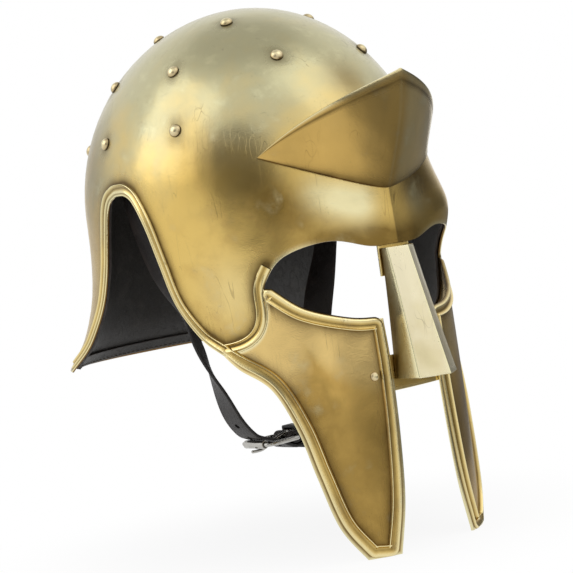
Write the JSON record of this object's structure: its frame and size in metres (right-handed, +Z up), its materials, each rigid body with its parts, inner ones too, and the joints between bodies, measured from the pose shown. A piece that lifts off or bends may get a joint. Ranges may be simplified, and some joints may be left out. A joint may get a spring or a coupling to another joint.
{
  "type": "gladiator helmet",
  "caption": "Open-eyed brass helmet with ear arches, flared neck guard, raised brow plate, keeled nasal bar, long cheek guards, leather lining and a buckled chin strap.",
  "frame": {"origin": "centre of the dome on the level where it is widest, where the middle of the wearer's head sits", "axes": "+Z up, the face looks along -Y, +X towards the wearer's left"},
  "size_m": [0.213, 0.297, 0.351],
  "materials": {
    "brass": "aged and brushed, with olive patina",
    "bright_brass": "worn bright",
    "steel": "polished",
    "black_leather": "smooth black",
    "brown_leather": "worn reddish brown",
    "strap_leather": "oiled dark brown"
  },
  "bodies": {
    "helmet": {"bowl": "brass", "frontlet": "brass", "nasal_guard": "bright_brass", "nasal_tang": "brass", "nasal_bridge": "brass", "cheek_guard_left": "brass", "cheek_guard_right": "brass", "bridge_rivet_left": "bright_brass", "bridge_rivet_right": "bright_brass", "bowl_lining": "black_leather", "neck_hem": "black_leather", "headband": "brown_leather", "crown_lace": "strap_leather", "strap_rivet_left": "steel", "strap_rivet_right": "steel", "strap_spacer_left": "black_leather", "strap_spacer_right": "black_leather", "stud_1": "bright_brass", "stud_2": "bright_brass", "stud_3": "bright_brass", "stud_4": "bright_brass", "stud_5": "bright_brass", "stud_6": "bright_brass", "stud_7": "bright_brass", "stud_8": "bright_brass", "stud_9": "bright_brass", "stud_10": "bright_brass", "stud_11": "bright_brass", "stud_12": "bright_brass", "stud_13": "bright_brass", "stud_14": "bright_brass", "stud_15": "bright_brass", "stud_16": "bright_brass", "stud_17": "bright_brass", "stud_18": "bright_brass", "stud_19": "bright_brass", "crown_tab_1": "brown_leather", "crown_tab_2": "brown_leather", "crown_tab_3": "brown_leather", "crown_tab_4": "brown_leather", "crown_tab_5": "brown_leather", "crown_tab_6": "brown_leather"},
    "chin_strap": {"chin_strap_right": "strap_leather", "chin_strap_left": "strap_leather", "strap_keeper": "strap_leather"},
    "buckle": {"buckle_frame": "steel"},
    "prong": {"buckle_prong": "steel"},
    "roller": {"buckle_roller": "steel"}
  },
  "joints": [
    {"name": "chin_strap_swing", "type": "hinge", "parent": "helmet", "child": "chin_strap", "pos_m": [0, 0.022, 0.033], "axis": [1, 0, 0], "range_deg": [-38, 32]},
    {"name": "buckle_tilt", "type": "hinge", "parent": "chin_strap", "child": "buckle", "pos_m": [0.014, 0.022, -0.164], "axis": [0, 1, 0], "range_deg": [-6, 0]},
    {"name": "prong_tilt", "type": "hinge", "parent": "buckle", "child": "prong", "pos_m": [0.014, 0.022, -0.164], "axis": [0, 1, 0], "range_deg": [-8, 0]},
    {"name": "roller_spin", "type": "hinge", "parent": "buckle", "child": "roller", "pos_m": [-0.014, 0.022, -0.164], "axis": [0, 1, 0], "continuous": true}
  ]
}
